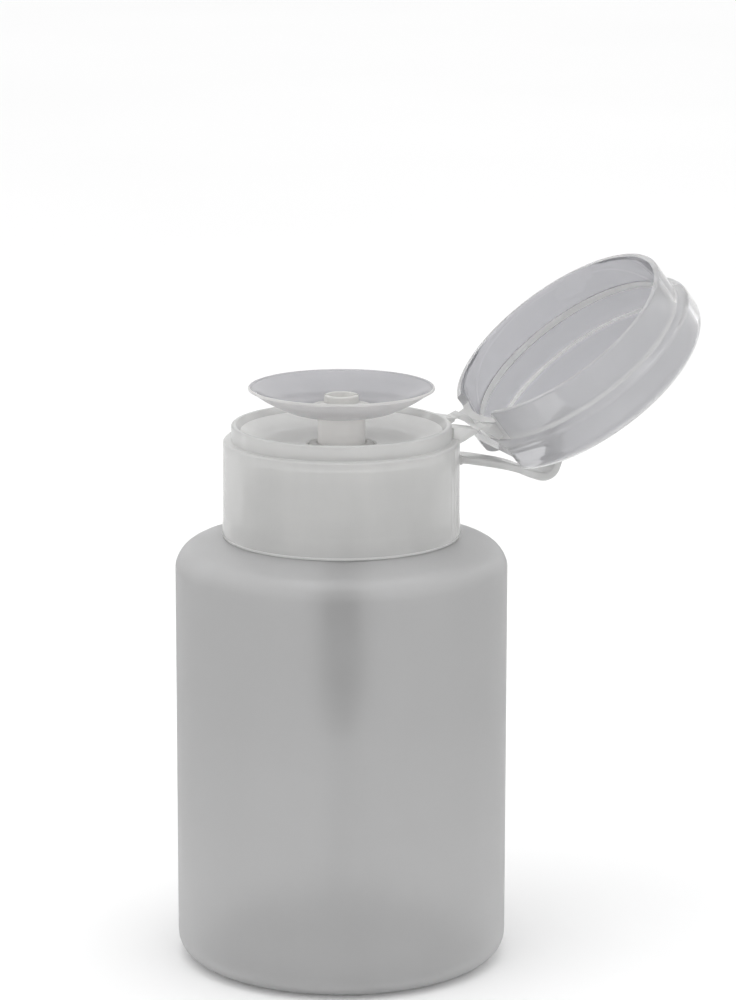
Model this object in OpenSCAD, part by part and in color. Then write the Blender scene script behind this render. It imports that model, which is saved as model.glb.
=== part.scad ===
// Pump bottle with a press-to-dispense dish under a flip lid.
// Millimetres, +Z up. The origin is the centre of the base on the surface it
// stands on. The lid hinge lies on +X, and the lid is drawn open, as it rests.

/* [Bottle] */
// Outer radius of the round body
body_r = 30; // [28:0.5:33]
// Height at which the shoulder rounding begins
shoulder_z = 71.3; // [66:0.1:71.8]
// Radius of the shoulder rounding
shoulder_round = 5.2; // [4.4:0.1:5.6]
// Radius of the rounding round the base
base_round = 4.2; // [3:0.1:5.5]
// Thickness of the blown wall
wall = 1.1; // [0.8:0.05:1.4]
// Outer radius of the neck, without its thread
neck_r = 15.1; // [14.8:0.05:15.3]
// Radius of the bore through the neck
neck_bore_r = 13.2; // [12.9:0.05:13.4]
// Height of the neck's rim
neck_top_z = 92; // [91.6:0.1:92.2]

/* [Screw cap] */
// Outer radius of the skirt at its top
cap_r = 21.3; // [21:0.05:21.4]
// Outer radius of the skirt at its bottom
cap_foot_r = 21.65; // [21.5:0.05:21.7]
// Height of the skirt's bottom edge
cap_z = 78.35; // [78.3:0.05:78.6]
// Height of the step that the closed lid seats over
step_z = 95.9; // [95.5:0.05:96]
// Outer radius of the upper ring
ring_r = 19.84; // [19.5:0.02:20.1]
// Height of the upper ring
ring_top_z = 98.7; // [98:0.1:99]
// Thickness of the skirt wall
skirt_t = 1.3; // [1:0.1:1.5]
// Inner radius of the threaded wall
thread_bore_r = 16.35; // [16.3:0.01:16.45]
// Outer radius of the threaded wall
thread_wall_r = 17.7; // [17.4:0.1:18]

/* [Flip lid] */
// Distance of the hinge crease from the bottle's axis
crease_x = 23.68; // [23.6:0.02:23.8]
// Height of the hinge crease
crease_z = 97.4; // [97.3:0.02:97.5]
// Angle that the lid is open, from closed
open_angle = 142.7; // [120:0.1:150]
// Outer radius of the lid's lower skirt
lid_skirt_r = 22; // [21.9:0.02:22.1]
// Outer radius of the lid's upper drum
lid_r = 23.75; // [23.3:0.05:23.9]
// Height of the lid's top above the crease
lid_top_w = 13; // [12.8:0.1:13.4]
// Inner radius of the lid's lower skirt
lid_bore_r = 20.7; // [20.5:0.05:20.8]
// Width of each hinge link
link_w = 4; // [3.4:0.1:4.2]
// Distance of each hinge link's centre from the middle
link_y = 5.5; // [5.4:0.1:5.8]
// Width of the snap strap between the links
strap_w = 6.2; // [5:0.1:6.4]
// Thickness of the snap strap
strap_t = 1.3; // [1:0.1:1.4]

/* [Dish and pump] */
// Outer radius of the dish at its rim
dish_r = 16.8; // [16.4:0.1:17]
// Height of the dish's rim when it is not pressed
dish_rim_z = 105.5; // [105:0.1:106]
// How far the dish is pressed
press_travel = 5; // [4:0.1:5.1]
// Radius of the stem under the dish
stem_r = 4.3; // [4:0.05:4.4]
// Radius of the bore that the stem slides in
guide_bore_r = 4.36; // [4.33:0.01:4.44]
// Outer radius of the pump housing
housing_r = 4.5; // [4.4:0.1:5]
// Inner radius of the pump housing
housing_bore_r = 3.5; // [3.45:0.05:3.6]
// Height of the pump housing's lower end
housing_z = 46; // [44:0.5:48]
// Outer radius of the dip tube
tube_r = 1.9; // [1.8:0.05:2]
// Mean radius of the return spring
spring_r = 2.6; // [2.55:0.05:2.65]
// Turns of the return spring
spring_turns = 7; // [5:1:9]

/* [Hidden] */
e = 0.01;
// Points of an arc, centre [cx, cy], from angle a0 to a1 in n steps
function arc(cx, cy, r, a0, a1, n) =
    [for (i = [0 : n]) let (a = a0 + (a1 - a0) * i / n)
        [cx + r * cos(a), cy + r * sin(a)]];

// ---------------------------------------------------------------- bottle
sh_a = 70;                                   // where the rounding meets the slope
sh_end_r = body_r - shoulder_round + shoulder_round * cos(sh_a);
sh_end_z = shoulder_z + shoulder_round * sin(sh_a);
slope = tan(90 - sh_a);
function slope_z(r) = sh_end_z + (sh_end_r - r) * slope;
neck_foot_r = 18;

module bottle() {
    color([0.72, 0.72, 0.73])
    rotate_extrude($fn = 128)
    polygon(concat(
        // outside, from the pushed-up base to the rim of the neck
        [[0, 1.9], [18.5, 1.9], [20.6, 1.6], [22.2, 0.7], [23.3, 0.12], [24, 0]],
        [[body_r - base_round, 0]],
        arc(body_r - base_round, base_round, base_round, -80, 0, 8),
        arc(body_r - shoulder_round, shoulder_z, shoulder_round, 0, sh_a, 8),
        [[neck_foot_r, slope_z(neck_foot_r)], [neck_r + 0.9, slope_z(neck_foot_r) + 0.5],
         [neck_r, slope_z(neck_foot_r) + 1.5],
         [neck_r, neck_top_z - 0.3], [neck_r - 0.3, neck_top_z],
         // inside, back down to the middle of the base
         [neck_bore_r, neck_top_z], [neck_bore_r, slope_z(neck_foot_r) + 0.8],
         [neck_bore_r + 0.8, slope_z(neck_foot_r) - 0.6]],
        arc(body_r - shoulder_round, shoulder_z, shoulder_round - wall, sh_a, 0, 8),
        arc(body_r - base_round, base_round, base_round - wall, 0, -90, 8),
        [[24.2, wall], [22.8, wall + 0.6], [20.8, wall + 1.8], [18.7, 1.9 + wall], [0, 1.9 + wall]]
    ));
}

// -------------------------------------------------------------- screw cap
deck_z = neck_top_z + 2.1;                   // underside of the cap's deck
floor_z = deck_z + 1;                        // lowest ring of the funnel
// One half of a hinge link, as drawn on the collar side
module collar_link() {
    rotate([90, 0, 0]) translate([0, 0, -link_w / 2]) linear_extrude(link_w)
    polygon([[ring_r - 1.2, crease_z - 2], [ring_r - 1.2, crease_z + 0.5], [ring_r + 0.3, crease_z + 0.5],
             [crease_x - 0.3, crease_z - 0.1], [crease_x - 0.3, crease_z - 0.65],
             [cap_r - 0.4, crease_z - 2], [ring_r, crease_z - 2.4], [ring_r - 0.6, crease_z - 2.4]]);
}
module screw_cap() {
    color([0.80, 0.80, 0.80]) {
        rotate_extrude($fn = 128)
        polygon(concat(
            [[cap_foot_r, cap_z], [cap_foot_r, cap_z + 1.2], [cap_r + 0.05, cap_z + 4], [cap_r, step_z - 0.5]],
            arc(cap_r - 0.5, step_z - 0.5, 0.5, 15, 90, 4),
            [[ring_r, step_z]],
            [[ring_r, ring_top_z - 0.4]],
            arc(ring_r - 0.4, ring_top_z - 0.4, 0.4, 15, 165, 6),
            [[ring_r - 0.85, ring_top_z - 0.5], [18.2, ring_top_z - 1.1]],
            // funnel under the dish
            [[17.4, 97.0], [16.3, 96.25], [14.6, 95.7], [12, 95.35], [9, floor_z + 0.1], [6.4, floor_z]],
            // hole for the stem guide
            [[6.15, floor_z], [6.15, deck_z], [thread_bore_r - 0.4, deck_z], [thread_bore_r, deck_z - 0.4],
             [thread_bore_r, 80.4], [thread_wall_r, 80.4],
             [thread_wall_r, deck_z + 0.2], [cap_r - skirt_t, deck_z + 0.2], [cap_foot_r - skirt_t, cap_z + 0.8]]
        ));
        for (s = [-1, 1]) translate([0, s * link_y, 0]) collar_link();
        // root of the strap on the skirt
        rotate([90, 0, 0]) translate([0, 0, -strap_w / 2]) linear_extrude(strap_w)
        polygon([[cap_r - 0.7, 88.8], [cap_r - 0.7, 92.4], [cap_r + 0.6, 91.65], [cap_r + 1.1, 91.55],
                 [cap_r + 1.1, 90.2], [cap_r + 0.5, 90]]);
    }
}
module film_hinges() {
    color([0.85, 0.85, 0.84])
    for (s = [-1, 1]) translate([crease_x, s * link_y, crease_z])
        rotate([90, 0, 0]) cylinder(r = 0.25, h = link_w - 0.2, center = true, $fn = 24);
}

// --------------------------------------------------------------- flip lid
// The lid is drawn closed, about the bottle's axis, with w = 0 at the crease
flat_x = 21.95;                              // outer face of the flat hinge side
flat_in_x = 20.65;                           // its inner face
rim_w = -1.1;
floor_w = 11.7;
round_top = 4;
recess_w = 10.05;                            // floor of the strap's recess
recess_x = 8.3;                              // far end of the strap's recess
recess_half = 4.2;

module lid_outside() {
    difference() {
        rotate_extrude($fn = 128)
        polygon(concat(
            [[0, rim_w], [lid_skirt_r - 0.3, rim_w], [lid_skirt_r, rim_w + 0.3], [lid_skirt_r, 4.6]],
            arc(lid_skirt_r + 0.6, 4.6, 0.6, 180, 120, 2),
            arc(lid_r - 1.1, 6.5, 1.1, -50, 0, 4),
            arc(lid_r - round_top, lid_top_w - round_top, round_top, 0, 90, 8),
            [[0, lid_top_w]]));
        // flat side by the hinge, which leaves room for the strap
        translate([flat_x, -20, 0.5]) cube([10, 40, 20]);
        translate([flat_x - 0.01, -20, -2]) cube([10, 40, 4]);
    }
}
module lid_inside() {
    intersection() {
        rotate_extrude($fn = 128)
        polygon(concat(
            [[0, rim_w - 1], [lid_bore_r + 0.3, rim_w - 1], [lid_bore_r + 0.3, rim_w],
             [lid_bore_r, rim_w + 0.4], [lid_bore_r, 5.9]],
            [[lid_bore_r + 0.5, 6.3], [lid_r - 1.7, 6.9]],
            arc(lid_r - 1.7 - 1.2, floor_w - 1.2, 1.2, 0, 90, 4),
            [[0, floor_w]]));
        translate([flat_in_x - 50, -30, -5]) cube([50, 60, 30]);
    }
}
module lid_link() {
    rotate([90, 0, 0]) translate([0, 0, -link_w / 2]) linear_extrude(link_w)
    polygon([[crease_x - 0.3, 0.12], [crease_x - 0.3, 0.62], [flat_x + 0.25, 3], [flat_x, 4.2],
             [flat_in_x + 0.1, 4.2], [flat_in_x + 0.1, 1.15], [flat_x, 1.05], [flat_x + 0.3, 0.4]]);
}
module lid_closed() {
    difference() {
        union() {
            difference() { lid_outside(); lid_inside(); }
            // raised box inside, round the recess for the strap
            intersection() {
                translate([recess_x - 0.9, -recess_half - 0.9, recess_w - 0.9])
                    cube([flat_x - recess_x + 0.9, 2 * recess_half + 1.8, floor_w - recess_w + 1.4]);
                lid_outside();
            }
        }
        // recess for the strap, open at the top and at the hinge side
        translate([recess_x, -recess_half, recess_w]) cube([20, 2 * recess_half, 10]);
        // the top edge is cut away beside the strap
        translate([flat_in_x - 0.6, -8.2, recess_w - 0.9]) rotate([0, -62, 0]) translate([0, 0, -12]) cube([10, 16.4, 24]);
        // notch of the rim between the links and at them
        translate([18, -8, -3]) cube([flat_x - 18 + 0.7, 16, 3.9]);
    }
    for (s = [-1, 1]) translate([0, s * link_y, 0]) lid_link();
}
module open_pose() {
    translate([crease_x, 0, crease_z]) rotate([0, open_angle, 0]) translate([-crease_x, 0, 0]) children();
}
module flip_lid() { color([0.78, 0.78, 0.80]) open_pose() lid_closed(); }

// ------------------------------------------------------------- snap strap
// Centre line of the strap in its loop, [x, z], lid open
strap_c = [[cap_r + 1.35, 90.87], [28.1, 89.8], [33.2, 88.45], [36.5, 87.1], [38.6, 86.55],
           [40.2, 87.2], [41.2, 89], [41.75, 91.5], [42, 94.5], [42, 96.6], [42.12, 97.6]];
function unit(v) = v / norm(v);
function side(p, i) = let (a = p[max(i - 1, 0)], b = p[min(i + 1, len(p) - 1)], d = unit(b - a)) [-d[1], d[0]];
module snap_strap() {
    color([0.79, 0.79, 0.79])
    rotate([90, 0, 0]) translate([0, 0, -strap_w / 2]) linear_extrude(strap_w)
    polygon(concat(
        [for (i = [0 : len(strap_c) - 1]) strap_c[i] + side(strap_c, i) * strap_t / 2],
        [for (i = [len(strap_c) - 1 : -1 : 0]) strap_c[i] - side(strap_c, i) * strap_t / 2]));
}

// ------------------------------------------------------- dish and nozzle
dish_bottom_z = dish_rim_z - 4.7;
boss_r = 3.15;
module dish() {
    color([0.74, 0.74, 0.77])
    rotate_extrude($fn = 96)
    polygon(concat(
        // underside, from the stem socket to the rim
        [[stem_r - 1.5, dish_bottom_z - 9], [stem_r, dish_bottom_z - 9], [stem_r, dish_bottom_z - 0.4], [stem_r + 0.5, dish_bottom_z]],
        [[7.6, dish_bottom_z], [9.2, dish_bottom_z + 0.35], [13.6, dish_bottom_z + 2.3], [16.1, dish_bottom_z + 3.9]],
        [[dish_r - 0.1, dish_rim_z - 0.35]],
        arc(dish_r - 0.35, dish_rim_z - 0.3, 0.3, 0, 180, 5),
        // bowl
        [[15.4, dish_bottom_z + 4.3], [13.1, dish_bottom_z + 3.2], [9, dish_bottom_z + 1.6], [7.4, dish_bottom_z + 1.25],
         [2.2, dish_bottom_z + 1.2], [2.2, dish_bottom_z + 0.2], [stem_r - 1.5, dish_bottom_z]]));
}
module outlet_nozzle() {
    nz = dish_bottom_z + 1.25;
    color([0.82, 0.81, 0.79])
    difference() {
        union() {
            rotate_extrude($fn = 64)
            polygon([[0, nz], [boss_r + 0.9, nz], [boss_r + 0.9, nz + 0.35], [boss_r, nz + 0.6],
                     [boss_r - 0.05, nz + 1.7], [boss_r - 0.3, nz + 2], [0, nz + 2]]);
            translate([0, 0, nz - 1.3]) cylinder(r = 2.15, h = 1.4, $fn = 48);
        }
        // the well that the liquid comes up in, with a slot on each side
        translate([0, 0, nz + 0.7]) cylinder(r = 2.35, h = 3, $fn = 48);
        rotate([0, 0, -20]) translate([-5, -0.6, nz + 0.8]) cube([10, 1.2, 3]);
        translate([0, 0, nz - 2]) cylinder(r = 0.8, h = 6, $fn = 32);
    }
}

// ------------------------------------------------------------------- pump
stem_foot_z = 62;
module pump_stem() {
    color([0.86, 0.86, 0.85])
    rotate_extrude($fn = 64)
    polygon([[1, stem_foot_z], [3, stem_foot_z], [3, stem_foot_z + 0.5], [1.7, stem_foot_z + 0.65],
             [1.7, stem_foot_z + 1.4], [1.35, stem_foot_z + 1.4],
             [1.35, stem_foot_z + 3.6], [1.9, stem_foot_z + 3.6], [1.9, dish_bottom_z - 4.6],
             [stem_r - 1.52, dish_bottom_z - 4.6], [stem_r - 1.52, dish_bottom_z - 0.6],
             [2.35, dish_bottom_z - 0.6], [2.35, dish_bottom_z - 3.4], [1, dish_bottom_z - 3.9]]);
}
module piston_seal() {
    color([0.93, 0.93, 0.92])
    rotate_extrude($fn = 64)
    polygon([[1.38, stem_foot_z + 1.5], [2.4, stem_foot_z + 1.5], [housing_bore_r - 0.05, stem_foot_z + 0.8],
             [housing_bore_r - 0.05, stem_foot_z + 1.6], [2.7, stem_foot_z + 2.1], [2.7, stem_foot_z + 3],
             [housing_bore_r - 0.05, stem_foot_z + 3.4], [housing_bore_r - 0.05, stem_foot_z + 4.1],
             [2.4, stem_foot_z + 3.5], [1.38, stem_foot_z + 3.5]]);
}
outlet_ball_z = dish_bottom_z - 2.6;
module outlet_ball() {
    color([0.75, 0.76, 0.78]) translate([0, 0, outlet_ball_z]) sphere(r = 1.6, $fn = 48);
}
spring_z0 = housing_z + 4.2;
spring_z1 = stem_foot_z - 0.1;
inlet_ball_z = housing_z + 2.62;
module pump_housing() {
    color([0.88, 0.88, 0.87])
    rotate_extrude($fn = 96)
    polygon([[tube_r + 0.02, housing_z - 4], [tube_r + 1, housing_z - 4], [tube_r + 1.2, housing_z - 0.8],
             [housing_r - 0.6, housing_z], [housing_r, housing_z + 1], [housing_r, neck_top_z - 8],
             [housing_r + 1.1, neck_top_z - 6.5], [housing_r + 1.1, neck_top_z + 0.1], [neck_bore_r - 0.5, neck_top_z + 0.1],
             [neck_bore_r - 0.5, neck_top_z + 0.85], [14.5, neck_top_z + 0.85],
             [14.5, neck_top_z + 1.8], [5.25, neck_top_z + 1.8], [5.25, neck_top_z - 6.2],
             [housing_bore_r, neck_top_z - 7.8], [housing_bore_r, spring_z0 + 0.6],
             [housing_bore_r - 0.25, spring_z0], [2.15, spring_z0], [2.15, housing_z + 2.6],
             [1.1, housing_z + 1.1], [1.1, housing_z + 0.4], [tube_r + 0.02, housing_z + 0.4]]);
}
module stem_guide() {
    color([0.84, 0.84, 0.83])
    rotate_extrude($fn = 96)
    polygon([[guide_bore_r, neck_top_z - 5.9], [5.2, neck_top_z - 5.9], [5.2, neck_top_z + 1.8],
             [5.8, neck_top_z + 1.8], [5.8, floor_z + 0.1], [5.3, floor_z + 0.35], [guide_bore_r + 0.25, floor_z + 0.35],
             [guide_bore_r, floor_z]]);
}
module neck_gasket() {
    color([0.90, 0.90, 0.88])
    translate([0, 0, neck_top_z + 0.02]) difference() {
        cylinder(r = 14.7, h = 0.8, $fn = 96);
        translate([0, 0, -1]) cylinder(r = 12.75, h = 3, $fn = 96);
    }
}
wire_r = 0.32;
spring_n = spring_turns * 14;
// Points of the spring's coil
spring_p = [for (i = [0 : spring_n]) let (a = i * 360 / 14, t = i / spring_n)
    [spring_r * cos(a), spring_r * sin(a), spring_z0 + wire_r + (spring_z1 - spring_z0 - 2 * wire_r) * t]];
module return_spring() {
    k = 6;
    color([0.70, 0.71, 0.73])
    polyhedron(
        points = concat(
            [for (i = [0 : spring_n]) let (a = i * 360 / 14, p = spring_p[i])
                for (j = [0 : k - 1]) let (b = j * 360 / k)
                [p[0] + wire_r * cos(b) * cos(a), p[1] + wire_r * cos(b) * sin(a), p[2] + wire_r * sin(b)]]),
        faces = concat(
            [[for (j = [k - 1 : -1 : 0]) j]],
            [for (i = [0 : spring_n - 1]) for (j = [0 : k - 1])
                [i * k + j, (i + 1) * k + j, (i + 1) * k + (j + 1) % k, i * k + (j + 1) % k]],
            [[for (j = [0 : k - 1]) spring_n * k + j]]));
}
module inlet_ball() {
    color([0.75, 0.76, 0.78]) translate([0, 0, inlet_ball_z]) sphere(r = 1.75, $fn = 48);
}
tube_foot_z = 5.2;
module dip_tube() {
    color([0.86, 0.86, 0.85])
    difference() {
        translate([0, 0, tube_foot_z]) cylinder(r = tube_r, h = housing_z + 0.3 - tube_foot_z, $fn = 48);
        translate([0, 0, tube_foot_z - 1]) cylinder(r = tube_r - 0.5, h = housing_z + 5, $fn = 48);
        // slanted foot, so that the tube can't seal itself on the base
        translate([-4, -4, tube_foot_z]) rotate([0, 30, 0]) translate([-2, 0, -6]) cube([12, 8, 6]);
    }
}

bottle();
screw_cap();
film_hinges();
flip_lid();
snap_strap();
dish();
outlet_nozzle();
pump_stem();
piston_seal();
outlet_ball();
pump_housing();
stem_guide();
neck_gasket();
return_spring();
inlet_ball();
dip_tube();
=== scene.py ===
import bpy, bmesh, math
import numpy as np
from mathutils import Matrix, Vector


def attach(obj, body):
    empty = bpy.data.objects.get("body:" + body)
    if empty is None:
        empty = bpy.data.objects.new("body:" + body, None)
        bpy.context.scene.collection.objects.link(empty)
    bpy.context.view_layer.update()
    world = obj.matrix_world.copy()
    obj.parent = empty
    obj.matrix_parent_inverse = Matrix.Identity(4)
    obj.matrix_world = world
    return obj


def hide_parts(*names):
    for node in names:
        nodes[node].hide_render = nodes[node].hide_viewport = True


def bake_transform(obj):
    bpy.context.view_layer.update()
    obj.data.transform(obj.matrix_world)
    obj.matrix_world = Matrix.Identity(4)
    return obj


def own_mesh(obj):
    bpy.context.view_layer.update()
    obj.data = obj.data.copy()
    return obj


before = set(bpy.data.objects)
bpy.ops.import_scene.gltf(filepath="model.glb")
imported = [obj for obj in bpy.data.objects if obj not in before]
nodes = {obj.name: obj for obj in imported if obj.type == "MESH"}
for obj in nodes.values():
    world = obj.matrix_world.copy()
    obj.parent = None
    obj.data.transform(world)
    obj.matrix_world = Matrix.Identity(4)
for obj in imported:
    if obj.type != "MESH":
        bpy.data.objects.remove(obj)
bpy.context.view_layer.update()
scene = bpy.context.scene
MM = 0.001
TAU = 2 * math.pi

# ------------------------------------------------------------------ camera
cam_data = bpy.data.cameras.new("camera")
cam_data.lens, cam_data.sensor_width = 149.94, 36.0
cam_data.shift_x = 0.0265
cam_data.clip_start, cam_data.clip_end = 0.01, 20
cam = bpy.data.objects.new("camera", cam_data)
scene.collection.objects.link(cam)
cam.location = (-0.2555, -0.687, 0.249)
tilt = math.radians(12.64)
look = Vector((0.3486 * math.cos(tilt), 0.9373 * math.cos(tilt), -math.sin(tilt)))
cam.rotation_mode = "QUATERNION"
cam.rotation_quaternion = look.to_track_quat("-Z", "Y")
scene.camera = cam
scene.view_settings.view_transform = "Standard"
scene.view_settings.look = "None"


# --------------------------------------------------------------- materials
def new_material(name):
    mat = bpy.data.materials.new(name)
    mat.use_nodes = True
    nt = mat.node_tree
    nt.nodes.clear()
    return mat, nt


def node(nt, kind, **values):
    n = nt.nodes.new(kind)
    for k, v in values.items():
        n.inputs[k].default_value = v
    return n


def noise(nt, coords, scale, detail=3.0, rough=0.55, stretch=(1, 1, 1)):
    m = nt.nodes.new("ShaderNodeMapping")
    m.inputs["Scale"].default_value = stretch
    nt.links.new(coords, m.inputs["Vector"])
    n = node(nt, "ShaderNodeTexNoise", Scale=scale, Detail=detail, Roughness=rough)
    nt.links.new(m.outputs["Vector"], n.inputs["Vector"])
    return n.outputs["Fac"]


def ramp(nt, fac, stops):
    r = nt.nodes.new("ShaderNodeValToRGB")
    e = r.color_ramp.elements
    (p0, c0), (p1, c1) = stops[0], stops[-1]
    e[0].position, e[0].color = p0, (*c0, 1)
    e[1].position, e[1].color = p1, (*c1, 1)
    for p, c in stops[1:-1]:
        e.new(p).color = (*c, 1)
    nt.links.new(fac, r.inputs["Fac"])
    return r.outputs["Color"]


def remap(nt, fac, lo, hi, a=0.3, b=0.7):
    m = nt.nodes.new("ShaderNodeMapRange")
    for k, v in (("From Min", a), ("From Max", b), ("To Min", lo), ("To Max", hi)):
        m.inputs[k].default_value = v
    nt.links.new(fac, m.inputs["Value"])
    return m.outputs["Result"]


def bump_chain(nt, heights):
    """heights: (fac, strength, distance in metres), finest first"""
    last = None
    for fac, strength, distance in heights:
        b = nt.nodes.new("ShaderNodeBump")
        b.inputs["Strength"].default_value = strength
        b.inputs["Distance"].default_value = distance
        nt.links.new(fac, b.inputs["Height"])
        if last is not None:
            nt.links.new(last, b.inputs["Normal"])
        last = b.outputs["Normal"]
    return last


def milky(name, scatter, clear=0.4, tint=(0.9, 0.9, 0.9), through=0.4, rough=(0.18, 0.28), blur=0.12, ior=1.5, vary=0.04,
          cloud=90.0, grain=1500.0, grain_mm=0.01, ripple=(160.0, 0.05), stretch=(1, 1, 0.35), warm=0.0, painted_light_levels=None):
    """Natural, cloudy plastic. clear is the share that is seen through, tinted and blurred. The rest scatters: through of it passes
    on as soft light, and the remainder comes back under a glossy or satin skin."""
    mat, nt = new_material(name)
    tc = nt.nodes.new("ShaderNodeTexCoord")
    co = tc.outputs["Object"]
    big = noise(nt, co, cloud, 4.0, 0.5, stretch)
    c = np.array(scatter)
    lo = np.clip(c * (1 - vary), 0, 1)
    hi = np.clip(c * (1 + vary) + np.array([warm, warm * 0.5, 0]), 0, 1)
    col = ramp(nt, big, [(0.3, lo), (0.55, c), (0.75, hi)])
    if painted_light_levels:
        # painted light: the scatter colour is scaled by height, in metres
        xyz = nt.nodes.new("ShaderNodeSeparateXYZ")
        nt.links.new(co, xyz.inputs[0])
        height = remap(nt, xyz.outputs["Z"], 0.0, 1.0, 0.0, 0.1)
        times = nt.nodes.new("ShaderNodeVectorMath")
        times.operation = "MULTIPLY"
        nt.links.new(col, times.inputs[0])
        nt.links.new(ramp(nt, height, [(z / 0.1, (g, g, g)) for z, g in painted_light_levels]), times.inputs[1])
        col = times.outputs[0]
    fine = noise(nt, co, grain, 2.0, 0.6)
    soft = noise(nt, co, ripple[0], 2.0, 0.5, stretch)
    nrm = bump_chain(nt, [(fine, 0.35, grain_mm * MM), (soft, 0.6, ripple[1] * MM)])
    out = nt.nodes.new("ShaderNodeOutputMaterial")

    def mixed(fac, a, b):
        m = nt.nodes.new("ShaderNodeMixShader")
        m.inputs[0].default_value = fac
        nt.links.new(a.outputs[0], m.inputs[1])
        nt.links.new(b.outputs[0], m.inputs[2])
        return m

    skin = nt.nodes.new("ShaderNodeBsdfPrincipled")
    skin.inputs["IOR"].default_value = ior
    nt.links.new(col, skin.inputs["Base Color"])
    nt.links.new(remap(nt, big, rough[0], rough[1]), skin.inputs["Roughness"])
    nt.links.new(nrm, skin.inputs["Normal"])
    last = skin
    if through > 0:
        soft_light = nt.nodes.new("ShaderNodeBsdfTranslucent")
        nt.links.new(col, soft_light.inputs["Color"])
        nt.links.new(nrm, soft_light.inputs["Normal"])
        last = mixed(through, skin, soft_light)
    if clear > 0:
        glass = nt.nodes.new("ShaderNodeBsdfPrincipled")
        glass.inputs["IOR"].default_value = ior
        glass.inputs["Transmission Weight"].default_value = 1.0
        glass.inputs["Base Color"].default_value = (*tint, 1)
        glass.inputs["Roughness"].default_value = blur
        nt.links.new(nrm, glass.inputs["Normal"])
        last = mixed(clear, last, glass)
    nt.links.new(last.outputs[0], out.inputs["Surface"])
    return mat


def steel(name, colour, rough):
    mat, nt = new_material(name)
    tc = nt.nodes.new("ShaderNodeTexCoord")
    n = noise(nt, tc.outputs["Object"], 900.0, 3.0)
    p = nt.nodes.new("ShaderNodeBsdfPrincipled")
    p.inputs["Metallic"].default_value = 1.0
    c = np.array(colour)
    nt.links.new(ramp(nt, n, [(0.3, c * 0.85), (0.7, c)]), p.inputs["Base Color"])
    nt.links.new(remap(nt, n, rough * 0.8, rough * 1.3), p.inputs["Roughness"])
    nt.links.new(bump_chain(nt, [(n, 0.3, 0.004 * MM)]), p.inputs["Normal"])
    out = nt.nodes.new("ShaderNodeOutputMaterial")
    nt.links.new(p.outputs[0], out.inputs["Surface"])
    return mat


# painted light: the bottle's scatter colour is lighter at the base, where the floor shade falls, and from the top of
# the shoulder up
M_BOTTLE = milky("frosted_polyethylene", (0.74, 0.74, 0.742), clear=0.42, tint=(0.75, 0.75, 0.752), through=0.42, rough=(0.34, 0.44), blur=0.36,
                 vary=0.03, cloud=55.0, grain=2600.0, grain_mm=0.02, ripple=(110.0, 0.10),
                 painted_light_levels=[(0.0, 1.0), (0.03, 0.80), (0.05, 0.73), (0.0728, 0.73), (0.0762, 0.95), (0.0775, 0.92), (0.1, 0.92)])
M_BOTTLE_IN = milky("polyethylene_inside", (0.70, 0.70, 0.70), clear=0.92, tint=(0.95, 0.95, 0.95), through=0.5, rough=(0.2, 0.3), blur=0.18,
                    vary=0.02, cloud=60.0, grain=900.0, grain_mm=0.01, ripple=(90.0, 0.12))
M_CAP = milky("cloudy_polypropylene_cap", (0.83, 0.83, 0.822), clear=0.33, tint=(0.82, 0.82, 0.815), through=0.38, rough=(0.08, 0.13), blur=0.08,
              vary=0.045, cloud=120.0, grain=1400.0, grain_mm=0.006, ripple=(220.0, 0.05), warm=0.004)
M_CAP_IN = milky("polypropylene_cap_inside", (0.84, 0.84, 0.83), clear=0.80, tint=(0.98, 0.98, 0.975), through=0.45, rough=(0.13, 0.21), blur=0.08,
                 vary=0.02, cloud=120.0, grain=1400.0, grain_mm=0.006, ripple=(220.0, 0.05))
# painted highlight: a near-white, opaque copy of the plastic, put on thin bands to stand in for bright edge lines
M_PAINTED_HIGHLIGHT = milky("painted_highlight_polypropylene", (0.94, 0.94, 0.935), clear=0.0, through=0.5, rough=(0.2, 0.3),
               vary=0.02, cloud=200.0, grain=1400.0, grain_mm=0.004, ripple=(220.0, 0.03))
# painted light: a whiter, less clear copy of the cap plastic for the funnel, to offset the shade under the dish
M_FUNNEL_PAINTED_LIGHT = milky("polypropylene_funnel_painted_light", (0.95, 0.95, 0.94), clear=0.15, tint=(0.95, 0.95, 0.95), through=0.30, rough=(0.05, 0.09), blur=0.10,
                 vary=0.02, cloud=120.0, grain=1400.0, grain_mm=0.006, ripple=(220.0, 0.05))
M_RING = milky("polypropylene_upper_ring", (0.82, 0.82, 0.812), clear=0.40, tint=(0.86, 0.86, 0.86), through=0.35, rough=(0.15, 0.22), blur=0.09,
               vary=0.03, cloud=120.0, grain=1400.0, grain_mm=0.006, ripple=(220.0, 0.05))
M_STRAP = milky("polypropylene_strap", (0.72, 0.72, 0.715), clear=0.35, tint=(0.86, 0.86, 0.86), through=0.40, rough=(0.18, 0.26), blur=0.15,
                vary=0.04, cloud=260.0, grain=1400.0, grain_mm=0.006, ripple=(300.0, 0.05), stretch=(0.4, 1, 1))
# painted light: a lighter, less clear copy of the lid plastic for the pocket faces
M_POCKET_PAINTED_LIGHT = milky("polypropylene_pocket_painted_light", (0.86, 0.86, 0.865), clear=0.15, tint=(0.90, 0.90, 0.91), through=0.35, rough=(0.2, 0.3), blur=0.08,
                 vary=0.02, cloud=120.0, grain=1400.0, grain_mm=0.004, ripple=(150.0, 0.04))
M_LID = milky("cloudy_polypropylene_lid", (0.97, 0.97, 0.972), clear=0.73, tint=(0.69, 0.69, 0.697), through=0.15, rough=(0.18, 0.26), blur=0.03,
              vary=0.03, cloud=90.0, grain=1400.0, grain_mm=0.004, ripple=(150.0, 0.04))
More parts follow.
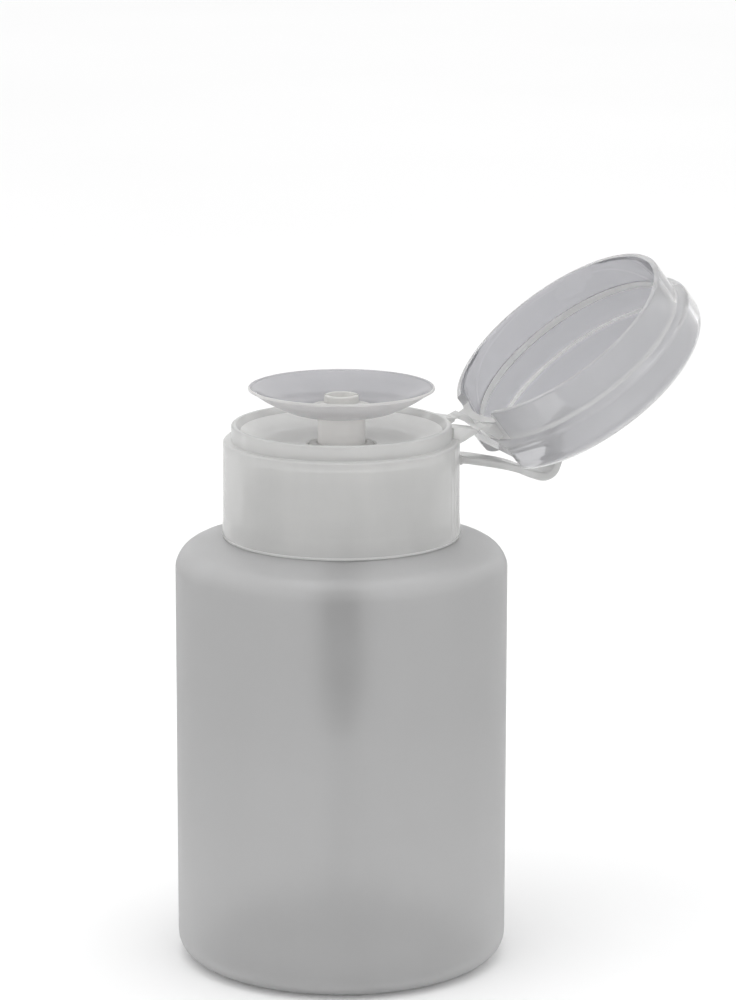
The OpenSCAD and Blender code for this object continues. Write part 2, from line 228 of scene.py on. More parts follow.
# painted shade: the inside of the lid gets a much darker, bluer scatter colour than the outside of the same plastic
M_LID_IN_PAINTED_SHADE = milky("polypropylene_lid_inside_painted_shade", (0.34, 0.34, 0.37), clear=0.76, tint=(0.60, 0.60, 0.632), through=0.25, rough=(0.18, 0.26), blur=0.03,
                 vary=0.02, cloud=90.0, grain=1400.0, grain_mm=0.004, ripple=(150.0, 0.04))
M_DISH = milky("cloudy_polypropylene_dish", (0.965, 0.952, 0.935), clear=0.45, tint=(0.94, 0.94, 0.935), through=0.45, rough=(0.14, 0.22), blur=0.08,
               vary=0.03, cloud=120.0, grain=1400.0, grain_mm=0.006, ripple=(200.0, 0.05))
# painted shade: the inside of the bowl gets a much darker, bluer scatter colour than the underside of the same plastic
M_BOWL_PAINTED_SHADE = milky("polypropylene_bowl_painted_shade", (0.41, 0.41, 0.437), clear=0.36, tint=(0.80, 0.80, 0.83), through=0.45, rough=(0.04, 0.08), blur=0.08,
                  vary=0.03, cloud=120.0, grain=1400.0, grain_mm=0.006, ripple=(200.0, 0.05))
# painted light: a near-white, opaque copy of the dish plastic, to offset the shade under the dish
M_SLEEVE_PAINTED_LIGHT = milky("polypropylene_sleeve_painted_light", (0.985, 0.972, 0.955), clear=0.0, through=0.12, rough=(0.2, 0.3), vary=0.02, cloud=260.0,
                 grain=1400.0, grain_mm=0.006, ripple=(400.0, 0.03))
M_NOZZLE = milky("polypropylene_nozzle", (0.84, 0.835, 0.82), clear=0.20, tint=(0.95, 0.95, 0.94), through=0.45, rough=(0.18, 0.28), blur=0.2,
                 vary=0.03, cloud=300.0, ripple=(500.0, 0.03))
M_PUMP = milky("satin_polypropylene_pump", (0.74, 0.736, 0.73), clear=0.84, tint=(0.92, 0.92, 0.915), through=0.35, rough=(0.26, 0.36), blur=0.16,
               vary=0.05, cloud=260.0, ripple=(400.0, 0.03))
M_STEM = milky("satin_polypropylene_stem", (0.90, 0.89, 0.875), clear=0.50, tint=(0.95, 0.95, 0.94), through=0.45, rough=(0.26, 0.36), blur=0.2,
               vary=0.03, cloud=260.0, ripple=(400.0, 0.03))
M_GUIDE = milky("satin_polypropylene_guide", (0.90, 0.89, 0.87), clear=0.25, tint=(0.95, 0.95, 0.94), through=0.45, rough=(0.24, 0.34), blur=0.15,
                vary=0.03, cloud=260.0, ripple=(400.0, 0.03))
M_SEAL = milky("soft_polyethylene_seal", (0.40, 0.40, 0.395), clear=0.0, through=0.3, rough=(0.4, 0.55), vary=0.04, cloud=400.0,
               ripple=(500.0, 0.03))
M_GASKET = milky("foam_gasket", (0.86, 0.86, 0.84), clear=0.0, through=0.35, rough=(0.6, 0.8), vary=0.06, cloud=700.0,
                 grain=2200.0, grain_mm=0.08, ripple=(900.0, 0.08))
M_TUBE = milky("clear_polyethylene_tube", (0.80, 0.80, 0.80), clear=0.94, tint=(0.995, 0.995, 0.995), through=0.5, rough=(0.2, 0.3), blur=0.10, ior=1.2,
               vary=0.03, cloud=300.0, ripple=(400.0, 0.03))
M_SPRING = steel("spring_wire", (0.55, 0.56, 0.58), 0.28)
M_BALL = steel("polished_ball", (0.66, 0.67, 0.69), 0.12)


# ------------------------------------------------------------- mesh helpers
def add_mesh(name, verts_mm, faces):
    me = bpy.data.meshes.new(name)
    me.from_pydata((np.asarray(verts_mm, float) * MM).tolist(), [], faces)
    me.update()
    ob = bpy.data.objects.new(name, me)
    scene.collection.objects.link(ob)
    outward(ob)
    return ob


def outward(ob):
    bm = bmesh.new()
    bm.from_mesh(ob.data)
    bmesh.ops.recalc_face_normals(bm, faces=bm.faces)
    bm.to_mesh(ob.data)
    bm.free()


def clean(ob, angle=32.0):
    """Smooth shading, with edges past the angle kept sharp"""
    bm = bmesh.new()
    bm.from_mesh(ob.data)
    bmesh.ops.remove_doubles(bm, verts=bm.verts, dist=2e-6)
    bmesh.ops.dissolve_degenerate(bm, edges=bm.edges, dist=1e-6)
    bmesh.ops.recalc_face_normals(bm, faces=bm.faces)
    bm.to_mesh(ob.data)
    bm.free()
    ob.data.shade_smooth()
    ob.data.set_sharp_from_angle(angle=math.radians(angle))
    return ob


def corner(points, before=None, after=None):
    """points: (r, z) or (r, z, radius, steps). Returns the line with those corners rounded. before and after: its neighbours."""
    out = []
    n = len(points)
    for i, p in enumerate(points):
        if len(p) == 2 or p[2] <= 0:
            out.append((p[0], p[1]))
            continue
        a = np.array(before if i == 0 and before else points[(i - 1) % n][:2], float)
        b = np.array(p[:2], float)
        c = np.array(after if i == n - 1 and after else points[(i + 1) % n][:2], float)
        u, v = a - b, c - b
        lu, lv = np.linalg.norm(u), np.linalg.norm(v)
        u, v = u / lu, v / lv
        half = math.acos(max(-1, min(1, float(u @ v)))) / 2
        if half > math.pi / 2 - 0.01:
            out.append((p[0], p[1]))
            continue
        d = min(p[2] / math.tan(half), lu * 0.49, lv * 0.49)
        r = d * math.tan(half)
        centre = b + (u + v) / np.linalg.norm(u + v) * (r / math.sin(half))
        s, e = b + u * d, b + v * d
        a0 = math.atan2(*(s - centre)[::-1])
        a1 = math.atan2(*(e - centre)[::-1])
        while a1 - a0 > math.pi:
            a1 -= TAU
        while a1 - a0 < -math.pi:
            a1 += TAU
        k = p[3] if len(p) > 3 else 6
        for j in range(k + 1):
            t = a0 + (a1 - a0) * j / k
            out.append((centre[0] + r * math.cos(t), centre[1] + r * math.sin(t)))
    return out


def arc(cx, cy, r, a0, a1, n):
    return [(cx + r * math.cos(math.radians(a0 + (a1 - a0) * i / n)), cy + r * math.sin(math.radians(a0 + (a1 - a0) * i / n)))
            for i in range(n + 1)]


def spline(points, n):
    """Smooth line of n + 1 points through the given ones"""
    P = np.asarray(points, float)
    t = np.r_[0, np.cumsum(np.linalg.norm(np.diff(P, axis=0), axis=1))]
    m = np.gradient(P, t, axis=0)
    q = np.linspace(0, t[-1], n + 1)
    i = np.clip(np.searchsorted(t, q, side="right") - 1, 0, len(t) - 2)
    h = (t[i + 1] - t[i])[:, None]
    s = ((q - t[i]) / (t[i + 1] - t[i]))[:, None]
    return ((2 * s**3 - 3 * s**2 + 1) * P[i] + (s**3 - 2 * s**2 + s) * h * m[i] + (-2 * s**3 + 3 * s**2) * P[i + 1] + (s**3 - s**2) * h * m[i + 1])


def lathe(name, profile, columns=256, shift=None):
    """Turns a closed outline about the axis. Points on the axis become one vertex each. shift(r, z, angles) returns the added radius."""
    ang = np.linspace(0, TAU, columns, endpoint=False) if isinstance(columns, int) else np.asarray(columns)
    m = len(ang)
    c, s = np.cos(ang), np.sin(ang)
    verts, rows = [], []
    for r, z in profile:
        if r < 1e-6:
            rows.append([len(verts)] * m)
            verts.append((0, 0, z))
            continue
        rr = r + (shift(r, z, ang) if shift else 0) * np.ones(m)
        start = len(verts)
        verts += list(zip(rr * c, rr * s, [z] * m))
        rows.append(list(range(start, start + m)))
    faces = []
    n = len(rows)
    for i in range(n):
        a, b = rows[i], rows[(i + 1) % n]
        if a[0] == a[1] and b[0] == b[1]:
            continue
        for j in range(m):
            k = (j + 1) % m
            if a[0] == a[1]:
                faces.append((a[0], b[k], b[j]))
            elif b[0] == b[1]:
                faces.append((a[j], a[k], b[0]))
            else:
                faces.append((a[j], a[k], b[k], b[j]))
    return add_mesh(name, verts, faces)


def box(name, x0, x1, y0, y1, z0, z1, bevel=0.0, steps=3):
    v = [(x, y, z) for x in (x0, x1) for y in (y0, y1) for z in (z0, z1)]
    f = [(0, 1, 3, 2), (4, 6, 7, 5), (0, 4, 5, 1), (2, 3, 7, 6), (0, 2, 6, 4), (1, 5, 7, 3)]
    ob = add_mesh(name, v, f)
    if bevel:
        bm = bmesh.new()
        bm.from_mesh(ob.data)
        bmesh.ops.bevel(bm, geom=list(bm.edges), offset=bevel * MM, segments=steps, profile=0.5, affect="EDGES")
        bm.to_mesh(ob.data)
        bm.free()
    return ob


def prism(name, outline, y0, y1, bevel=0.0, steps=2):
    """An x-z outline drawn out along y, its long edges rounded"""
    n = len(outline)
    v = [(x, y0, z) for x, z in outline] + [(x, y1, z) for x, z in outline]
    f = [tuple(range(n)), tuple(range(2 * n - 1, n - 1, -1))] + [(i, (i + 1) % n, n + (i + 1) % n, n + i) for i in range(n)]
    ob = add_mesh(name, v, f)
    if bevel:
        bm = bmesh.new()
        bm.from_mesh(ob.data)
        bmesh.ops.bevel(bm, geom=list(bm.edges), offset=bevel * MM, segments=steps, profile=0.5, affect="EDGES", clamp_overlap=True)
        bm.to_mesh(ob.data)
        bm.free()
    return ob


def boolean(a, b, kind, solver="MANIFOLD"):
    """Joins or cuts a with b, and removes b"""
    mod = a.modifiers.new("cut", "BOOLEAN")
    mod.operation, mod.object, mod.solver = kind, b, solver
    dg = bpy.context.evaluated_depsgraph_get()
    me = bpy.data.meshes.new_from_object(a.evaluated_get(dg))
    a.modifiers.clear()
    old = a.data
    a.data = me
    bpy.data.meshes.remove(old)
    gone = b.data
    bpy.data.objects.remove(b)
    bpy.data.meshes.remove(gone)
    return a


def dress(ob, mat):
    ob.data.materials.clear()
    ob.data.materials.append(mat)
    return ob


def inside(ob, mat, line, near=0.06, rule=None):
    """Gives the faces that lie along the line (r, z) the second material"""
    ob.data.materials.append(mat)
    me = ob.data
    c = np.zeros(len(me.polygons) * 3)
    me.polygons.foreach_get("center", c)
    c = c.reshape(-1, 3) / MM
    q = np.stack([np.hypot(c[:, 0], c[:, 1]), c[:, 2]], 1)
    P = np.asarray([t[:2] for t in line], float)
    best = np.full(len(q), 1e9)
    for a, b in zip(P[:-1], P[1:]):
        d = b - a
        if d @ d < 1e-12:
            continue
        t = np.clip(((q - a) @ d) / (d @ d), 0, 1)
        best = np.minimum(best, np.linalg.norm(q - a - t[:, None] * d, axis=1))
    index = (best < near).astype(np.int32)
    if rule is not None:
        index = np.where(rule(c), 1, index).astype(np.int32)
    me.polygons.foreach_set("material_index", index)
    me.update()


def paint(ob, mat, rule):
    """Gives the faces whose centre (x, y, z in mm, and r) passes the rule another material"""
    ob.data.materials.append(mat)
    me = ob.data
    c = np.zeros(len(me.polygons) * 3)
    me.polygons.foreach_get("center", c)
    c = c.reshape(-1, 3) / MM
    old = np.zeros(len(me.polygons), np.int32)
    me.polygons.foreach_get("material_index", old)
    new = np.where(rule(c, np.hypot(c[:, 0], c[:, 1])), len(me.materials) - 1, old).astype(np.int32)
    me.polygons.foreach_set("material_index", new)
    me.update()


def helix_height(ang, z, z0, pitch, turns, base, crest):
    """0 to 1: how much of a right-hand thread stands at that angle and height"""
    h = np.zeros_like(ang)
    for k in range(-1, int(turns) + 3):
        pos = ang / TAU + k
        u = pos / turns
        mid = z0 + pitch * pos
        d = np.abs(z - mid)
        f = np.clip((base / 2 - d) / ((base - crest) / 2), 0, 1)
        f = f * f * (3 - 2 * f)
        ends = np.clip(u / 0.06, 0, 1) * np.clip((1 - u) / 0.06, 0, 1)
        h = np.maximum(h, f * ends)
    return h


def open_pose(ob):
    """The lid is made closed, with w = 0 at the crease, and turned open about the crease"""
    m = (Matrix.Translation((CREASE_X * MM, 0, CREASE_Z * MM)) @ Matrix.Rotation(math.radians(OPEN), 4, "Y")
         @ Matrix.Translation((-CREASE_X * MM, 0, 0)))
    ob.data.transform(m)
    return ob


CREASE_X, CREASE_Z, OPEN = 23.68, 97.4, 142.7
LINK_Y, LINK_W = 5.5, 4.0
PITCH = 3.18

# ------------------------------------------------------------------ bottle
PART_A = math.radians(-20.4)  # where the two mould halves met


def bottle_shift(r, z, ang):
    d = np.zeros_like(ang)
    if abs(r - 15.1) < 0.02 and 82.0 < z < 91.5:
        d = d + 1.05 * helix_height(ang, z, 84.7, PITCH, 1.5, 2.1, 0.8)
    if r > 24.5 and 4.0 < z < 76.0 or (r > 29.9):
        for a in (PART_A, PART_A + math.pi):
            away = np.abs((ang - a + math.pi) % TAU - math.pi) * r
            d = d + 0.05 * np.exp(-(away / 0.22) ** 2)
    return d


SH_R, SH_Z = 4.6, 72.3  # the shoulder's rounding
sh_r, sh_z = 30 - SH_R + SH_R * math.cos(math.radians(74)), SH_Z + SH_R * math.sin(math.radians(74))
slope = math.tan(math.radians(16))
foot_z = sh_z + (sh_r - 18) * slope
outer = [(0, 1.9), (6, 1.9), (12, 1.88), (17, 1.82)]
outer += [tuple(p) for p in spline([(17.8, 1.8), (19.6, 1.66), (21.2, 1.2), (22.4, 0.6), (23.2, 0.18), (24.0, 0.0)], 18)]
outer += [(24.9, 0.0)]
outer += arc(25.8, 4.2, 4.2, -88, 0, 16)
outer += [(30, z) for z in np.linspace(5, 70.5, 24)]
outer += arc(30 - SH_R, SH_Z, SH_R, 0, 74, 18)
outer += [(r, sh_z + (sh_r - r) * slope) for r in np.linspace(sh_r - 0.6, 18.6, 8)]
outer += [(17.6, foot_z + 0.22), (16.6, foot_z + 0.62), (15.9, foot_z + 1.05), (15.35, foot_z + 1.6), (15.12, foot_z + 2.1)]
outer += [(15.1, z) for z in np.arange(foot_z + 2.3, 91.55, 0.13)]
outer += arc(14.8, 91.7, 0.3, 0, 90, 4) + [(14.2, 92.0)]
inner = [(13.5, 92.0), (13.2, 91.7), (13.2, 88), (13.2, foot_z + 1.4)]
inner += [tuple(p) for p in spline([(13.25, foot_z + 0.8), (13.6, foot_z - 0.1), (14.6, foot_z - 0.75), (16.5, foot_z - 0.9)], 8)]
inner += [(r, sh_z + (sh_r - r) * slope - 1.15) for r in np.linspace(17.8, sh_r - 0.8, 7)]
inner += arc(30 - SH_R, SH_Z, SH_R - 1.1, 72, 0, 14)
inner += [(28.9, z) for z in np.linspace(69, 6, 20)]
inner += arc(25.8, 4.2, 3.1, 0, -88, 14)
inner += [tuple(p) for p in spline([(25.0, 1.12), (24.0, 1.3), (22.6, 1.9), (20.9, 2.75), (18.8, 3.0)], 12)]
inner += [(14, 3.02), (7, 3.02), (0, 3.02)]
cols = np.linspace(0, TAU, 288, endpoint=False)
extra = np.concatenate([(a + np.linspace(-0.018, 0.018, 13)) % TAU for a in (PART_A, PART_A + math.pi)])
cols = np.unique(np.round(np.concatenate([cols, extra]), 6))
bottle = lathe("bottle_shell", outer + inner, cols, bottle_shift)

# the pinch line and its scar under the base, where the blown tube was nipped off
pinch = []
for i in range(61):
    t = -1 + i / 30
    pinch.append((t * 15.5, 0.34 * (1 - abs(t) ** 4) ** 0.5 * (1 + 0.12 * math.sin(9 * t))))
rows, faces = [], []
for i, (x, h) in enumerate(pinch):
    w = 0.32 + 0.18 * h
    for y, z in ((-w, 2.05), (-w * 0.9, 1.92 - h * 0.25), (-w * 0.45, 1.88 - h * 0.85), (0, 1.86 - h), (w * 0.45, 1.88 - h * 0.85), (w * 0.9, 1.92 - h * 0.25), (w, 2.05)):
        rows.append((x * math.cos(PART_A) - y * math.sin(PART_A), x * math.sin(PART_A) + y * math.cos(PART_A), z))
for i in range(60):
    for j in range(7):
        k = (j + 1) % 7
        faces.append((i * 7 + j, (i + 1) * 7 + j, (i + 1) * 7 + k, i * 7 + k))
faces += [tuple(range(7)), tuple(range(60 * 7 + 6, 60 * 7 - 1, -1))]
seam = add_mesh("pinch", rows, faces)
bottle = boolean(bottle, seam, "UNION")
clean(bottle, 40)
dress(bottle, M_BOTTLE)
inside(bottle, M_BOTTLE_IN, inner)
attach(bottle, "bottle")
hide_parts("bottle")

# --------------------------------------------------------------- screw cap
cap_line = corner([
    (21.52, 78.35, 0.25, 4), (21.52, 78.95), (21.5, 79.55, 1.5, 4), (21.33, 82.35, 6, 4), (21.3, 95.9, 0.5, 8), (19.84, 95.9, 0.18, 3),
    (19.84, 98.7, 0.42, 6), (18.99, 98.7, 0.4, 5), (18.15, 97.62, 0.5, 4)], (20.6, 78.55), (17.4, 97.0))
bore_rows = [(16.35, z) for z in np.arange(93.7, 80.5, -0.13)]
cap_line += [tuple(p) for p in spline([(17.4, 97.0), (16.3, 96.3), (14.6, 95.7), (12, 95.35), (9, 95.19), (6.9, 95.11)], 26)]
cap_line += [(6.45, 95.1), (6.15, 94.85), (6.15, 94.1), (15.95, 94.1)] + bore_rows
cap_line += corner([(16.35, 80.4, 0.15, 2), (17.7, 80.4, 0.25, 3), (17.7, 94.3, 0.5, 4), (20.0, 94.3, 0.5, 4), (20.35, 79.15, 0.2, 3), (20.6, 78.55, 0.1, 2)],
                   (16.35, 80.9), (21.52, 78.35))


MARKS = [(math.radians(a), h) for a, h in ((-43.5, 0.08), (-38.8, 0.11), (-34.0, 0.14), (-30.5, 0.08))]


def cap_shift(r, z, ang):
    d = np.zeros_like(ang)
    if abs(r - 16.35) < 0.02 and 81.0 < z < 92.5:
        d = d - 1.02 * helix_height(ang, z, 84.7 - PITCH / 2, PITCH, 1.5, 2.0, 0.75)
    if 21.25 < r < 21.55 and 79.3 < z < 95.2:
        # fine upright marks on the skirt
        for a, h in MARKS:
            away = np.abs((ang - a + math.pi) % TAU - math.pi) * r
            d = d + h * np.exp(-(away / 0.16) ** 2)
    return d


cols = np.concatenate([np.linspace(0, TAU, 320, endpoint=False)] + [(a + np.linspace(-0.016, 0.016, 13)) % TAU for a, h in MARKS])
cap = lathe("screw_cap_shell", cap_line, np.unique(np.round(cols, 6)), cap_shift)
for s in (-1, 1):
    link = prism("link", [(18.75, 95.4), (18.75, 97.9), (20.14, 97.9), (23.38, 97.3), (23.38, 96.75), (20.9, 95.4), (20.0, 95.0), (19.24, 95.0)],
                 s * LINK_Y - LINK_W / 2, s * LINK_Y + LINK_W / 2, 0.12)
    cap = boolean(cap, link, "UNION")
root = prism("root", [(20.6, 88.8), (20.6, 92.4), (21.9, 91.65), (22.4, 91.55), (22.4, 90.2), (21.8, 90.0)], -3.1, 3.1, 0.12)
cap = boolean(cap, root, "UNION")
clean(cap, 34)
dress(cap, M_CAP)
# the threaded wall and the inside of the skirt
inside(cap, M_CAP_IN, [(20.6, 78.55), (20.35, 79.15), (20.0, 94.3), (17.7, 94.3), (17.7, 80.4), (16.35, 80.4)], 0.12,
       lambda c: (np.hypot(c[:, 0], c[:, 1]) < 16.6) & (np.hypot(c[:, 0], c[:, 1]) > 6.3) & (c[:, 2] < 94.3))
# painted highlight: a thin near-white band along the foot of the skirt
paint(cap, M_PAINTED_HIGHLIGHT, lambda c, r: (c[:, 2] < 78.92) & (r > 21.3))
paint(cap, M_RING, lambda c, r: (c[:, 2] > 95.75) & (r > 18.15))
# painted light: the funnel under the dish is made whiter than the rest of the cap
paint(cap, M_FUNNEL_PAINTED_LIGHT, lambda c, r: (c[:, 2] > 94.2) & (r < 18.15) & ((r < 6.6) | (c[:, 2] > 94.9)))
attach(cap, "closure")
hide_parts("screw_cap")

# ---------------------------------------------------------------- flip lid
FLAT_X, FLAT_IN, RIM, FLOOR, REC_W, REC_X, REC_H = 21.95, 20.65, -1.1, 11.7, 10.05, 8.3, 4.2
TOP = 12.75
lid_line = corner([(0, RIM), (22, RIM, 0.3, 4), (22, 5.2, 0.4, 5), (23.7, 6.0, 0.9, 8), (23.7, TOP, 4.3, 18), (0, TOP)])
lid_line = [(0, RIM)] + [p for p in lid_line if p[0] > 1e-6] + [(0, TOP)]
lid_cut_line = [(0, RIM - 1)] + corner([(21.0, RIM - 1), (21.0, RIM), (20.7, RIM + 0.4, 0.2, 3), (20.7, 4.85), (20.7, 6.1, 0.25, 4), (22.05, 6.85, 0.5, 5),
                                        (22.05, FLOOR, 1.2, 8)], None, (0, FLOOR)) + [(0, FLOOR)]


def lid_outer(name):
    ob = lathe(name, lid_line, 320)
    ob = boolean(ob, box("flat", FLAT_X, FLAT_X + 10, -20, 20, 0.5, 20.5), "DIFFERENCE")
    return boolean(ob, box("flat2", FLAT_X - 0.01, FLAT_X + 10, -20, 20, -2, 2), "DIFFERENCE")


lid = lid_outer("flip_lid_shell")
hollow = lathe("hollow", lid_cut_line, 320)
hollow = boolean(hollow, box("keep", -30, FLAT_IN, -30, 30, -5, 25), "INTERSECT")
lid = boolean(lid, hollow, "DIFFERENCE")
pocket = box("pocket", REC_X - 0.9, FLAT_X, -REC_H - 0.9, REC_H + 0.9, REC_W - 0.9, 12.6, 0.3, 3)
pocket = boolean(pocket, box("side", REC_X - 5, FLAT_X - 0.4, -10, 10, 5, 12.4), "INTERSECT")
lid = boolean(lid, pocket, "UNION")
lid = boolean(lid, box("recess", REC_X, 28.3, -REC_H, REC_H, REC_W, 20, 0.25, 3), "DIFFERENCE")
edge = box("edge", 0, 10, -8.2, 8.2, -12, 12, 0.5, 4)
edge.data.transform(Matrix.Translation(((FLAT_IN - 0.6) * MM, 0, (REC_W - 0.9) * MM)) @ Matrix.Rotation(math.radians(-62), 4, "Y"))
lid = boolean(lid, edge, "DIFFERENCE")
lid = boolean(lid, box("notch", 18, FLAT_X + 0.7, -8, 8, -3, 0.9, 0.3, 3), "DIFFERENCE")
for s in (-1, 1):
    link = prism("link", [(23.38, 0.12), (23.38, 0.62), (22.2, 3), (21.95, 4.2), (20.75, 4.2), (20.75, 1.15), (21.95, 1.05), (22.25, 0.4)],
                 s * LINK_Y - LINK_W / 2, s * LINK_Y + LINK_W / 2, 0.08)
    lid = boolean(lid, link, "UNION")
clean(lid, 34)
dress(lid, M_LID)
# painted shade: the lid's inner faces take the darker material
inside(lid, M_LID_IN_PAINTED_SHADE, lid_cut_line, 0.08)
# painted highlights: the hinge-side wall below the step gets the lighter, less clear ring material, and thin bands at
# the corners of the step and of the floor get the near-white highlight material
paint(lid, M_RING, lambda c, r: (c[:, 0] > 20.3) & (np.abs(c[:, 1]) < 8.3) & (c[:, 2] < 5))
paint(lid, M_PAINTED_HIGHLIGHT, lambda c, r: ((r < 21.1) & (r > 20.6) & (c[:, 2] > 4.9) & (c[:, 2] < 6.5) & (c[:, 0] < 20))
      | ((r > 21.0) & (r < 21.7) & (c[:, 2] > 11.1) & (c[:, 2] < FLOOR + 0.05)))
# painted light: the pocket faces are made lighter
paint(lid, M_POCKET_PAINTED_LIGHT, lambda c, r: (c[:, 0] > 7) & (c[:, 0] < 20.4) & (np.abs(c[:, 1]) < 5.3) & (c[:, 2] > 8.9) & (c[:, 2] < FLOOR - 0.05))
open_pose(lid)
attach(lid, "lid")
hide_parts("flip_lid")


# ------------------------------------------------------------- film hinges
def sweep(name, line, width, thick, corner_r, lengthwise=None):
    """A band with rounded edges along an x-z line, centred on y = 0. thick: number or one per point."""
    P = np.asarray(line, float)
    T = np.gradient(P, axis=0)
    T /= np.linalg.norm(T, axis=1)[:, None]
    N = np.stack([-T[:, 1], T[:, 0]], 1)
    thick = np.broadcast_to(np.asarray(thick, float), (len(P),))
    width = np.broadcast_to(np.asarray(width, float), (len(P),))
    verts, faces = [], []
    k = None
    for p, n, t, w in zip(P, N, thick, width):
        r = min(corner_r, t * 0.49)
        ring = []
        for cy, cn, a0 in ((w / 2 - r, t / 2 - r, 0), (-w / 2 + r, t / 2 - r, 90), (-w / 2 + r, -t / 2 + r, 180), (w / 2 - r, -t / 2 + r, 270)):
            for j in range(5):
                a = math.radians(a0 + j * 22.5)
                ring.append((cy + r * math.cos(a), cn + r * math.sin(a)))
        flat = []
        for i, q in enumerate(ring):
            flat.append(q)
            nxt = ring[(i + 1) % len(ring)]
            if abs(nxt[0] - q[0]) > w * 0.4:
                flat += [(q[0] + (nxt[0] - q[0]) * f, q[1]) for f in (0.25, 0.5, 0.75)]
        k = len(flat)
        verts += [(p[0] + n[0] * o, y, p[1] + n[1] * o) for y, o in flat]
    for i in range(len(P) - 1):
        for j in range(k):
            faces.append((i * k + j, (i + 1) * k + j, (i + 1) * k + (j + 1) % k, i * k + (j + 1) % k))
    faces += [tuple(range(k)), tuple(range(len(P) * k - 1, (len(P) - 1) * k - 1, -1))]
    return add_mesh(name, verts, faces)


web_line = spline([(CREASE_X - 0.55, CREASE_Z - 0.30), (CREASE_X - 0.25, CREASE_Z - 0.22), (CREASE_X, CREASE_Z - 0.12), (CREASE_X + 0.28, CREASE_Z - 0.06),
                   (CREASE_X + 0.55, CREASE_Z - 0.10)], 16)
for s, name in ((-1, "near"), (1, "far")):
    web = sweep(f"film_hinge_{name}", web_line, 3.7, [0.34 - 0.1 * math.sin(math.pi * i / 16) for i in range(17)], 0.08)
    web.data.transform(Matrix.Translation((0, s * LINK_Y * MM, 0)))
    clean(web, 50)
    dress(web, M_CAP)
    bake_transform(web)
    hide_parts("film_hinges")

# -------------------------------------------------------------- snap strap
strap_c = [(22.3, 90.94), (28.1, 89.8), (33.2, 88.45), (36.5, 87.1), (38.6, 86.6), (40.2, 87.2), (41.2, 89), (41.75, 91.5), (42, 94.5), (42.05, 96.6), (42.12, 97.6)]
strap_p = spline(strap_c, 96)
# thinner where it bends beside the skirt, thicker at the foot of the loop
along = np.linspace(0, 1, 97)
strap_thick = 1.38 - 0.12 * np.exp(-((along - 0.05) / 0.03) ** 2) + 0.22 * np.exp(-((along - 0.60) / 0.10) ** 2)
strap = sweep("snap_strap_band", strap_p, 6.2, strap_thick, 0.32)
clean(strap, 50)
dress(strap, M_STRAP)
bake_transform(strap)
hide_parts("snap_strap")

# -------------------------------------------------------- dish and nozzle
DB = 100.8
under = [(4.15, DB - 9), (4.3, DB - 8.85)] + arc(4.9, DB - 0.6, 0.6, 180, 90, 6) + [(6.4, DB), (7.4, DB + 0.02)]
under += [tuple(p) for p in spline([(8.6, DB + 0.16), (9.8, DB + 0.52), (12.0, DB + 1.5), (14.2, DB + 2.7), (16.1, DB + 3.95), (16.68, DB + 4.32)], 26)]
lip = arc(16.45, 105.2, 0.32, -20, 165, 9)
bowl = [tuple(p) for p in spline([(15.9, DB + 4.45), (14.9, DB + 3.95), (13.1, DB + 3.0), (11.0, DB + 2.12), (9.0, DB + 1.55), (7.4, DB + 1.25)], 26)]
dish_line = [(2.8, DB - 9)] + under + lip + bowl + [(5.5, DB + 1.2), (2.3, DB + 1.2), (2.2, DB + 1.1), (2.2, DB + 0.2), (2.8, DB)]
dish = lathe("dish_shell", dish_line, 256)
clean(dish, 40)
dress(dish, M_DISH)
# painted shade: the bowl's inner faces take the darker material
inside(dish, M_BOWL_PAINTED_SHADE, lip[5:] + bowl + [(5.5, DB + 1.2)], 0.05)
# painted light: the sleeve under the dish is made near-white
paint(dish, M_SLEEVE_PAINTED_LIGHT, lambda c, r: (r < 4.6) & (c[:, 2] < DB - 0.3))
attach(dish, "actuator")
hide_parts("dish")

NZ = DB + 1.25
boss = lathe("nozzle_boss", [(0, NZ - 1.3), (2.15, NZ - 1.3), (2.15, NZ)] + corner([(4.05, NZ, 0.1, 2), (4.05, NZ + 0.35, 0.15, 3), (3.15, NZ + 0.6, 0.2, 3),
             (3.1, NZ + 2.0, 0.3, 6), (2.36, NZ + 2.0, 0.12, 3)], (2.15, NZ), (2.35, NZ + 0.7)) + [(2.35, NZ + 0.7), (0, NZ + 0.7)], 128)
slot_cut = box("slot", -5, 5, -0.6, 0.6, NZ + 0.8, NZ + 4)
slot_cut.data.transform(Matrix.Rotation(math.radians(-20), 4, "Z"))
boss = boolean(boss, slot_cut, "DIFFERENCE")
boss = boolean(boss, lathe("hole", [(0, NZ - 2), (0.8, NZ - 2), (0.8, NZ + 4), (0, NZ + 4)], 48), "DIFFERENCE")
clean(boss, 36)
dress(boss, M_NOZZLE)
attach(boss, "actuator")
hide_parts("outlet_nozzle")

# ----------------------------------------------------------- return spring
S0, S1, TURNS, WIRE, SR = 50.2, 61.9, 7, 0.32, 2.6
n = TURNS * 48
verts, faces = [], []
for i in range(n + 1):
    t = i / n
    turn = t * TURNS
    # closed end coils, an even pitch between them
    s = min(1, max(0, (turn - 0.75) / (TURNS - 1.5)))
    lift = WIRE * 2 * min(turn, 0.75) + WIRE * 2 * max(0, turn - (TURNS - 0.75))
    z = S0 + WIRE + lift + (S1 - S0 - 2 * WIRE - 3 * WIRE) * s
    a = TAU * turn
    for j in range(12):
        b = TAU * j / 12
        r = SR + WIRE * math.cos(b)
        verts.append((r * math.cos(a), r * math.sin(a), z + WIRE * math.sin(b)))
for i in range(n):
    for j in range(12):
        k = (j + 1) % 12
        faces.append((i * 12 + j, i * 12 + k, (i + 1) * 12 + k, (i + 1) * 12 + j))
faces += [tuple(range(12)), tuple(range(n * 12 + 11, n * 12 - 1, -1))]
spring = add_mesh("return_spring_coil", verts, faces)
clean(spring, 60)
dress(spring, M_SPRING)
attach(spring, "pump_unit")
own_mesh(spring)
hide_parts("return_spring")

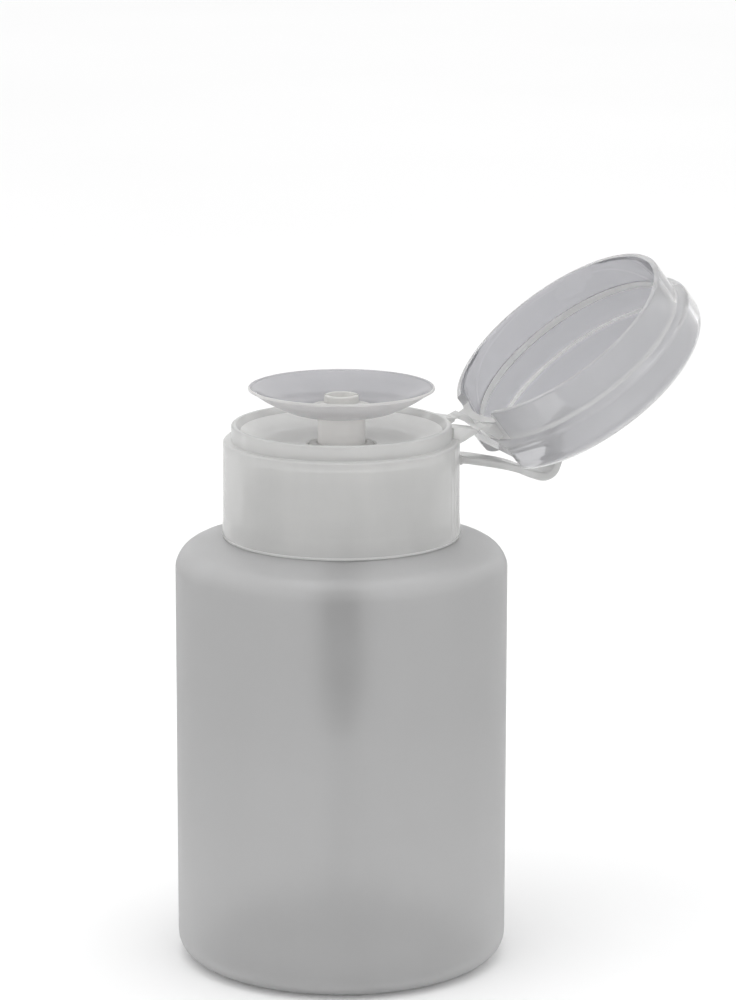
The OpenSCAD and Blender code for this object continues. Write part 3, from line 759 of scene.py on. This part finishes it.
# ------------------------------------------------- pieces kept from the CAD
for name, mat in (("pump_housing", M_PUMP), ("pump_stem", M_STEM), ("stem_guide", M_GUIDE), ("piston_seal", M_SEAL), ("neck_gasket", M_GASKET),
                  ("dip_tube", M_TUBE), ("inlet_ball", M_BALL), ("outlet_ball", M_BALL)):
    ob = nodes[name]
    for i in range(max(1, len(ob.material_slots))):
        if i < len(ob.material_slots):
            ob.material_slots[i].material = mat
        else:
            ob.data.materials.append(mat)

# ------------------------------------------------------------------- stage
mat, nt = new_material("pale_floor")
tc = nt.nodes.new("ShaderNodeTexCoord")
p = nt.nodes.new("ShaderNodeBsdfPrincipled")
f = noise(nt, tc.outputs["Object"], 3.0, 2.0)
nt.links.new(ramp(nt, f, [(0.3, (0.93, 0.93, 0.93)), (0.7, (0.95, 0.95, 0.95))]), p.inputs["Base Color"])
p.inputs["Roughness"].default_value = 0.9
p.inputs["Specular IOR Level"].default_value = 0.1
out = nt.nodes.new("ShaderNodeOutputMaterial")
nt.links.new(p.outputs[0], out.inputs["Surface"])
floor = bpy.data.objects.new("floor", bpy.data.meshes.new("floor"))
floor.data.from_pydata([(-6, -6, -0.0002), (6, -6, -0.0002), (6, 6, -0.0002), (-6, 6, -0.0002)], [], [(0, 1, 2, 3)])
floor.data.materials.append(mat)
scene.collection.objects.link(floor)

world = bpy.data.worlds.new("studio")
world.use_nodes = True
bg = world.node_tree.nodes["Background"]
bg.inputs["Color"].default_value = (1.0, 1.0, 1.0, 1)
bg.inputs["Strength"].default_value = 1.04
scene.world = world


def area(name, where, at, width, height, power, colour=(1, 1, 1)):
    d = bpy.data.lights.new(name, "AREA")
    d.shape, d.size, d.size_y, d.energy, d.color = "RECTANGLE", width, height, power, colour
    o = bpy.data.objects.new(name, d)
    o.location = where
    o.rotation_mode = "QUATERNION"
    o.rotation_quaternion = (Vector(at) - Vector(where)).to_track_quat("-Z", "Y")
    scene.collection.objects.link(o)
    return o


view_dir = Vector((0.3486, 0.9373, 0))
right = Vector((0.9373, -0.3486, 0))
area("soft_top", Vector((0, 0, 0.70)) - view_dir * 0.10, (0, 0, 0.08), 0.40, 0.40, 0.9)
area("strip_left", -right * 0.50 + view_dir * 0.30 + Vector((0, 0, 0.22)), (0, 0, 0.09), 0.08, 0.45, 0.12)
area("strip_right", right * 0.40 + view_dir * 0.46 + Vector((0, 0, 0.20)), (0, 0, 0.09), 0.08, 0.40, 0.08)
